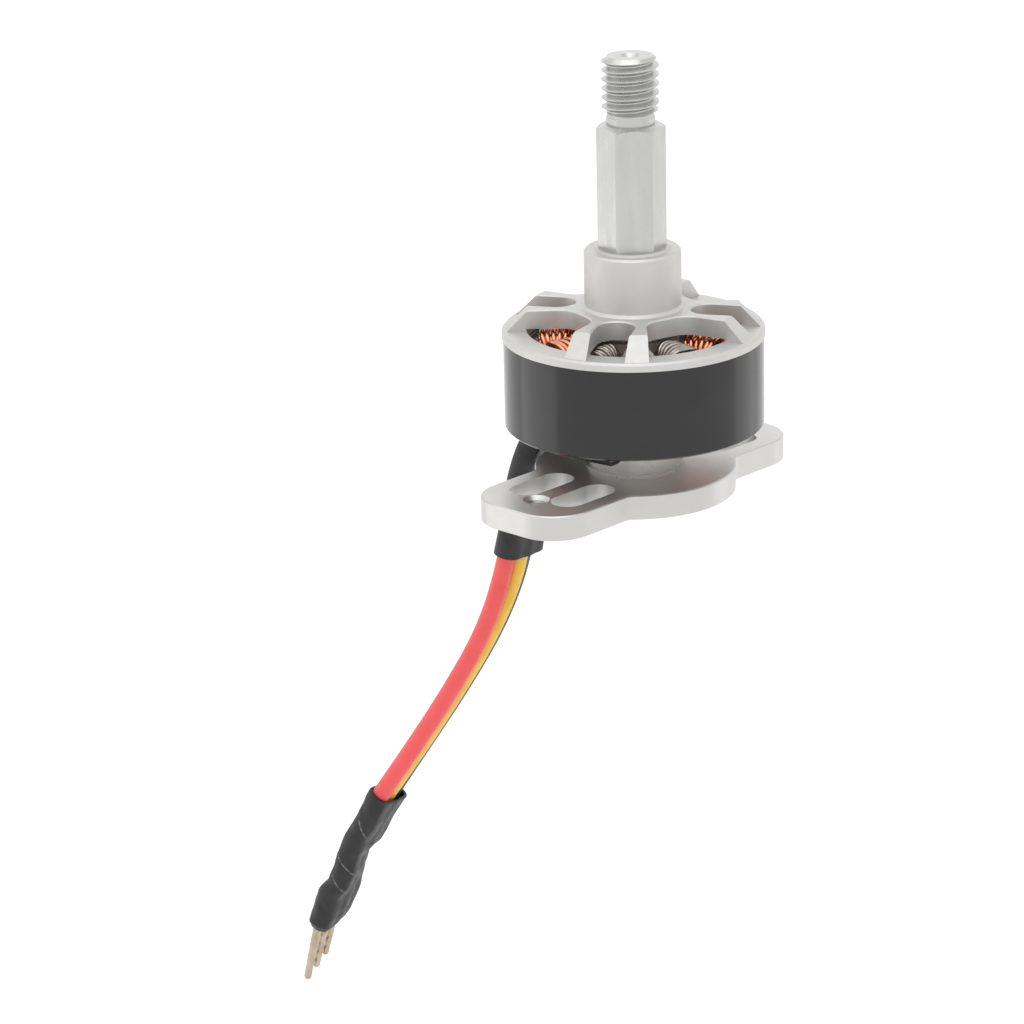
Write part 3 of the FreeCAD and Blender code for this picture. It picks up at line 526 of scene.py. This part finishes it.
# The leads' upright plane, and their route in it: distance out from the motor's axis, and height.
LEAD_PLANE_ANGLE = math.radians(113.9)
LEAD_PLANE_OFFSET = 0.00361
LEAD_PITCH = 0.00174
LEAD_RADIUS = 0.00085
LEAD_ROUTE = [
    (0.0066, 0.00425), (0.0094, 0.0042), (0.0111, 0.00155), (0.01193, -0.0039), (0.01245, -0.0096),
    (0.01505, -0.0162), (0.0192, -0.0233), (0.02345, -0.0299), (0.02795, -0.0366), (0.0309, -0.0427),
    (0.0331, -0.0482)]
LEAD_SIDES = {"red": -1, "yellow": 0, "black": 1}
# How far each outer lead turns about the middle one at each point of the route, in degrees.
LEAD_TURNS = {
    "red": [0, 0, 0, -18, -28, -12, -8, -8, -8, 5, -6],
    "yellow": [0] * 11,
    "black": [0, 0, 0, 5, 8, 3, 1, 1, -4, -1, -6]}

OUTWARD = Vector((math.cos(LEAD_PLANE_ANGLE), math.sin(LEAD_PLANE_ANGLE), 0))
SIDEWAYS = Vector((math.sin(LEAD_PLANE_ANGLE), -math.cos(LEAD_PLANE_ANGLE), 0))

# Bare ends: where each tip lies in the plane, the stretches hidden in the insulation and straight out
# of it, the strands' section, and the rounding of the tip.
BARE_TIPS = {"red": (0.0351, -0.05465), "yellow": (0.03455, -0.0537), "black": (0.03395, -0.0527)}
BARE_HIDDEN = 0.0012
BARE_STRAIGHT = 0.0008
BARE_RADIUS = 0.00035
BARE_STEPS = 60
BARE_SIDES = 42
STRAND_COUNT = 7
STRAND_RELIEF = 0.045
TWISTS_PER_METRE = 150
SOLDER_RELIEF = 0.02
SOLDER_WAVES = 2600
TIP_ROUNDING = 0.0004
TIP_BLUNTNESS = 0.02


def in_lead_plane(point, offset):
    return OUTWARD * point[0] + SIDEWAYS * offset + Vector((0, 0, point[1]))


def lead_points(colour):
    """The route's points for one lead, turned about the middle lead where the three don't lie flat."""
    middle = [in_lead_plane(place, LEAD_PLANE_OFFSET) for place in LEAD_ROUTE]
    points = []
    for k, turn in enumerate(LEAD_TURNS[colour]):
        along = middle[min(k + 1, len(middle) - 1)] - middle[max(k - 1, 0)]
        angle = math.radians(turn)
        aside = SIDEWAYS * math.cos(angle) + SIDEWAYS.cross(along).normalized() * math.sin(angle)
        points.append(middle[k] + aside * LEAD_SIDES[colour] * LEAD_PITCH)
    return points


def add_lead(colour):
    points = lead_points(colour)
    lead = nurbs_curve(f"{colour}_lead", points)
    lead.data.bevel_depth = LEAD_RADIUS
    lead.data.bevel_resolution = 8
    lead.data.use_fill_caps = True
    shown(lead, f"silicone_{colour}", replaces=[f"lead_{colour}"])


def add_bare_end(colour):
    """Twisted and soldered strands: a lobed section that turns as it goes, with a rounded tip."""
    side = LEAD_SIDES[colour]
    before, start = lead_points(colour)[-2:]
    along = (start - before).normalized()
    tip = in_lead_plane(BARE_TIPS[colour], LEAD_PLANE_OFFSET + side * LEAD_PITCH / 2)
    line = Line([start - along * BARE_HIDDEN, start, start + along * BARE_STRAIGHT, tip])
    rings = []
    for k in range(BARE_STEPS + 1):
        share = k / BARE_STEPS
        place, direction = line.at(line.length * share)
        from_tip = min(line.length * (1 - share) / TIP_ROUNDING, 1)
        size = BARE_RADIUS * math.sqrt(max(1 - (1 - from_tip) ** 2, TIP_BLUNTNESS))
        size *= 1 + SOLDER_RELIEF * math.sin(place.z * SOLDER_WAVES + side)
        twist = 2 * math.pi * TWISTS_PER_METRE * line.length * share
        across = direction.cross(SIDEWAYS).normalized()
        beside = direction.cross(across)
        ring = []
        for j in range(BARE_SIDES):
            angle = 2 * math.pi * j / BARE_SIDES
            lobes = 1 + STRAND_RELIEF * math.cos(STRAND_COUNT * (angle - twist))
            ring.append(place + (across * math.cos(angle) + beside * math.sin(angle)) * size * lobes)
        rings.append(ring)
    piece = mesh_object(f"{colour}_bare_end", *skin(rings))
    return shown(piece, "tinned_copper", replaces=[f"tinned_end_{colour}"])


# ---------------------------------------------------------------- sleeves

SLEEVE_SIDES = 96
SLEEVE_WALL = 0.0003
# How deep the sleeve sinks between the leads, and how much of its relief reaches its two edges.
SLEEVE_HOLLOW = 0.06
SLEEVE_EDGE_RELIEF = 0.4
# The radius that turns an angle round the sleeve into a distance, and half a crease's width.
CREASE_ROUND = 0.0015
CREASE_HALF_WIDTH = 0.0001

# Along each sleeve, as (share of its length, value) pairs: half its width and thickness, its turn in
# degrees, how far it shifts outward, and how far its section leans.
UPPER_SLEEVE_START = -0.001
UPPER_SLEEVE_END_HEIGHT = -0.0085
UPPER_SLEEVE = {
    "width": [(0, 0.00294), (0.6, 0.00288), (1, 0.00288)],
    "thickness": [(0, 0.00122), (0.7, 0.00125), (1, 0.0014)],
    "turn": [(0, 0), (0.35, 0), (0.7, -9), (1, -18)],
    "shift": [(0, 0), (0.7, 0), (1, 0.00012)],
    "skew": [(0, 0), (1, 0)]}
UPPER_SLEEVE_STEPS = 60
LOWER_SLEEVE_HEIGHTS = -0.0342, -0.0487
LOWER_SLEEVE = {
    "width": [(0, 0.00288), (0.3, 0.0029), (0.5, 0.0028), (0.75, 0.0029), (0.95, 0.0028), (1, 0.0021)],
    "thickness": [(0, 0.00128), (0.19, 0.00122), (0.34, 0.00126), (0.46, 0.00121), (0.56, 0.00122),
                  (0.65, 0.00124), (0.75, 0.00132), (0.885, 0.00127), (0.96, 0.00118), (1, 0.00098)],
    "turn": [(0, -11), (0.19, -7), (0.34, -9), (0.46, 2), (0.56, 3), (0.65, 0), (0.75, -9),
             (0.885, -7), (1, -4)],
    "shift": [(0, -0.0001), (0.19, -0.0002), (0.34, -0.00018), (0.46, 0.0001), (0.56, -0.0001),
              (0.65, -0.00015), (0.75, 0), (0.885, -0.0001), (1, 0)],
    "skew": [(0, 0.0004), (0.3, 0), (1, 0)]}
LOWER_SLEEVE_STEPS = 140
# Pale crease marks, each a line from one (share of the length, angle) to another.
LOWER_SLEEVE_MARKS = [
    (0.182, 2.76, 0.262, 4.15), (0.455, 2.3, 0.537, 4.2), (0.595, 2.42, 0.672, 4.15)]
# Dents of the lower sleeve: share of its length, the angle each faces, and depth.
DENTS = [(0.10, 2.3, 0.04), (0.30, 4.2, 0.06), (0.47, 5.6, 0.08), (0.60, 1.0, 0.06), (0.82, 3.4, 0.05)]
DENT_WIDTH = 0.025
DENT_SLANT = 0.05


def upper_relief(angle, share):
    """Slanting ribs that grow towards the lower end."""
    return 0.012 * math.sin(5 * angle + 9 * share) * share


def lower_relief(angle, share):
    """Two sets of slanting ribs, and the dents."""
    total = 0.014 * math.sin(3 * angle + 14 * share) + 0.009 * math.sin(7 * angle - 22 * share)
    for place, facing, depth in DENTS:
        middle = place + DENT_SLANT * math.sin(angle - facing)
        near = math.exp(-((share - middle) / DENT_WIDTH) ** 2)
        total -= depth * near * (0.5 + 0.5 * math.cos(angle - facing))
    return total


def sleeve_ring(place, direction, half_width, half_thickness, turn, skew, reliefs):
    """One section of a sleeve: a flat oval that shows the three leads inside."""
    angle = math.radians(turn)
    outward = SIDEWAYS.cross(direction).normalized()
    wide = SIDEWAYS * math.cos(angle) + outward * math.sin(angle)
    thick = wide.cross(direction).normalized()
    ring = []
    for j, relief in enumerate(reliefs):
        t = 2 * math.pi * j / SLEEVE_SIDES
        flat = (half_width - half_thickness) * min(max(2 * math.cos(t), -1), 1)
        x = half_thickness * math.cos(t) + flat
        hollow = 0.5 - 0.5 * math.cos(2 * math.pi * x / LEAD_PITCH)
        y = half_thickness * math.sin(t) * (1 - SLEEVE_HOLLOW * hollow * abs(math.sin(t)))
        ring.append(place + wide * x * (1 + SLEEVE_EDGE_RELIEF * relief) + thick * y * (1 + relief)
                    + direction * skew * x / half_width)
    return ring


def mark_creases(piece, marks, length, steps):
    """Store how near each outer vertex is to a crease mark."""
    attribute = piece.data.attributes.new("crease", "FLOAT", "POINT")
    for number in range((steps + 1) * SLEEVE_SIDES):
        row, column = divmod(number, SLEEVE_SIDES)
        spot = Vector((row / steps * length, 2 * math.pi * column / SLEEVE_SIDES * CREASE_ROUND))
        for start_share, start_angle, end_share, end_angle in marks:
            start = Vector((start_share * length, start_angle * CREASE_ROUND))
            run = Vector((end_share * length, end_angle * CREASE_ROUND)) - start
            along = min(max((spot - start).dot(run) / run.length_squared, 0), 1)
            gap = (spot - start - run * along).length
            if gap < CREASE_HALF_WIDTH:
                attribute.data[number].value = 1 - gap / CREASE_HALF_WIDTH


def add_sleeve(name, node, line, start, end, profile, relief, steps, marks=()):
    """A heat-shrink sleeve with an inner wall, from one distance along the line to another."""
    outer, inner = [], []
    for k in range(steps + 1):
        share = k / steps
        width, thickness, turn, shift, skew = (
            eased(profile[key], share) for key in ("width", "thickness", "turn", "shift", "skew"))
        place, direction = line.at(start + (end - start) * share)
        place = place + SIDEWAYS.cross(direction).normalized() * shift
        reliefs = [relief(2 * math.pi * j / SLEEVE_SIDES, share) for j in range(SLEEVE_SIDES)]
        for ring, wall in ((outer, 0), (inner, SLEEVE_WALL)):
            ring.append(sleeve_ring(place, direction, width - wall, thickness - wall, turn, skew,
                                    reliefs))
    piece = mesh_object(name, *skin(outer + inner[::-1], closed=True))
    mark_creases(piece, marks, end - start, steps)
    return shown(piece, "heat_shrink", replaces=[node])


def add_leads():
    route = Line([in_lead_plane(place, LEAD_PLANE_OFFSET) for place in LEAD_ROUTE])
    upper = add_sleeve(
        "upper_heat_shrink", "upper_sleeve", route, UPPER_SLEEVE_START,
        route.distance_at_height(UPPER_SLEEVE_END_HEIGHT), UPPER_SLEEVE, upper_relief,
        UPPER_SLEEVE_STEPS)
    start, end = (route.distance_at_height(height) for height in LOWER_SLEEVE_HEIGHTS)
    lower = add_sleeve(
        "lower_heat_shrink", "lower_sleeve", route, start, end, LOWER_SLEEVE, lower_relief,
        LOWER_SLEEVE_STEPS, LOWER_SLEEVE_MARKS)
    for colour in LEAD_SIDES:
        bare = add_bare_end(colour)
        add_lead(colour)


# ---------------------------------------------------------------- windings

TOOTH_COUNT = 12
# The first two teeth of each phase; its other two are opposite.
PHASE_FIRST_TEETH = {"a": 0, "b": 2, "c": 4}
WIRE_RADIUS = 0.00019
WINDING_MIDDLE = 0.0103
# For each layer: half its width across the tooth, half its height, corner radius, rise of its crown,
# and where its turns lie.
WINDING_LAYERS = [
    (0.00092, 0.00362, 0.00052, 0.00010, [0.00594 + 0.00038 * k for k in range(6)]),
    (0.00127, 0.00394, 0.00087, 0.00020, [0.00765 - 0.00038 * k for k in range(5)]),
    (0.00164, 0.00420, 0.00118, 0.00028, [0.00575 + 0.00040 * k for k in range(6)])]
# The crowns spread in and out from this distance from the axis, by this share.
WINDING_CENTRE = 0.00695
CROWN_SPREAD = 0.38
# Half the room beside a tooth, as a share of the distance from the axis, less a clearance.
SLOT_SHARE = 0.26
SLOT_CLEARANCE = 0.00025
CORNER_STEPS = 6
CROWN_TOP = 1.1
# How unevenly the turns are laid.
UNEVEN_RISE = 0.00005
UNEVEN_SWELL = 0.00002
UNEVEN_LEAN = 0.00005


def turn_outline(half_width, half_height, corner, crown):
    """One turn round a tooth as (across, up) pairs, anticlockwise to the middle of its lower end."""
    pairs = []
    for x_sign, z_sign, first in ((1, -1, -90), (1, 1, 0), (-1, 1, 90), (-1, -1, 180)):
        for step in range(CORNER_STEPS + 1):
            angle = math.radians(first + 90 * step / CORNER_STEPS)
            across = x_sign * (half_width - corner) + corner * math.cos(angle)
            up = z_sign * (half_height - corner) + (corner + crown) * math.sin(angle)
            pairs.append((across, up))
        if x_sign == 1 and z_sign == 1:
            pairs.append((0.0, half_height + CROWN_TOP * crown))
    pairs.append((0.0, -half_height - CROWN_TOP * crown))
    return pairs


def coil_points(number):
    """The wire's centre line on one tooth, layer after layer, as points in the CAD frame."""
    angle = 2 * math.pi * (number + 0.5) / TOOTH_COUNT
    outward = Vector((math.cos(angle), math.sin(angle), 0))
    across = Vector((-math.sin(angle), math.cos(angle), 0))
    luck = random.Random(number)
    points = []
    for half_width, half_height, corner, crown, places in WINDING_LAYERS:
        for index, place in enumerate(places):
            following = places[min(index + 1, len(places) - 1)]
            rise = crown + luck.uniform(-UNEVEN_RISE, UNEVEN_RISE)
            swell = luck.uniform(-UNEVEN_SWELL, UNEVEN_SWELL)
            lean = luck.uniform(-UNEVEN_LEAN, UNEVEN_LEAN)
            reach = min(half_width, SLOT_SHARE * place - SLOT_CLEARANCE)
            outline = turn_outline(reach + swell, half_height + swell, min(corner, 0.8 * reach), rise)
            for step, (aside, up) in enumerate(outline):
                share = step / len(outline)
                radial = place + (following - place) * share + lean * math.sin(2 * math.pi * share)
                radial += CROWN_SPREAD * (place - WINDING_CENTRE) * (up / half_height) ** 4
                points.append(outward * radial + across * aside + Vector((0, 0, WINDING_MIDDLE + up)))
    return points


def add_windings():
    for phase, first in PHASE_FIRST_TEETH.items():
        data = bpy.data.curves.new(f"phase_{phase}_winding", "CURVE")
        data.dimensions = "3D"
        data.bevel_depth = WIRE_RADIUS
        data.bevel_resolution = 2
        data.use_fill_caps = True
        opposite = first + TOOTH_COUNT // 2
        for tooth in (first, first + 1, opposite, opposite + 1):
            points = coil_points(tooth)
            spline = data.splines.new("POLY")
            spline.points.add(len(points) - 1)
            for target, point in zip(spline.points, points):
                target.co = (*point, 1.0)
        winding = bpy.data.objects.new(data.name, data)
        shown(winding, "winding_copper", replaces=[f"phase_{phase}_coils"])


# ---------------------------------------------------------------- the scene

# CAD nodes whose look isn't the one named after their slot.
OWN_LOOKS = {"bearing_tube": "tube_aluminium", "star_point_joint": "insulator_black"}


def dress_cad_nodes():
    slots = {part["node"]: part["material_slot"] for part in frame["record"]["subparts"]}
    for node, obj in frame["nodes"].items():
        if not obj.hide_render:
            obj.data.materials.clear()
            obj.data.materials.append(materials[OWN_LOOKS.get(node, slots[node])])


def add_floor():
    signs = ((-1, -1), (1, -1), (1, 1), (-1, 1))
    corners = [(x * FLOOR_HALF, y * FLOOR_HALF, FLOOR_HEIGHT) for x, y in signs]
    floor = mesh_object("floor", corners, [(0, 1, 2, 3)])
    floor.data.materials.append(materials["pale_floor"])


materials = make_materials()
add_camera()
add_floor()
add_lights()
scene.view_settings.view_transform = "Standard"

add_leads()
add_windings()
dress_cad_nodes()
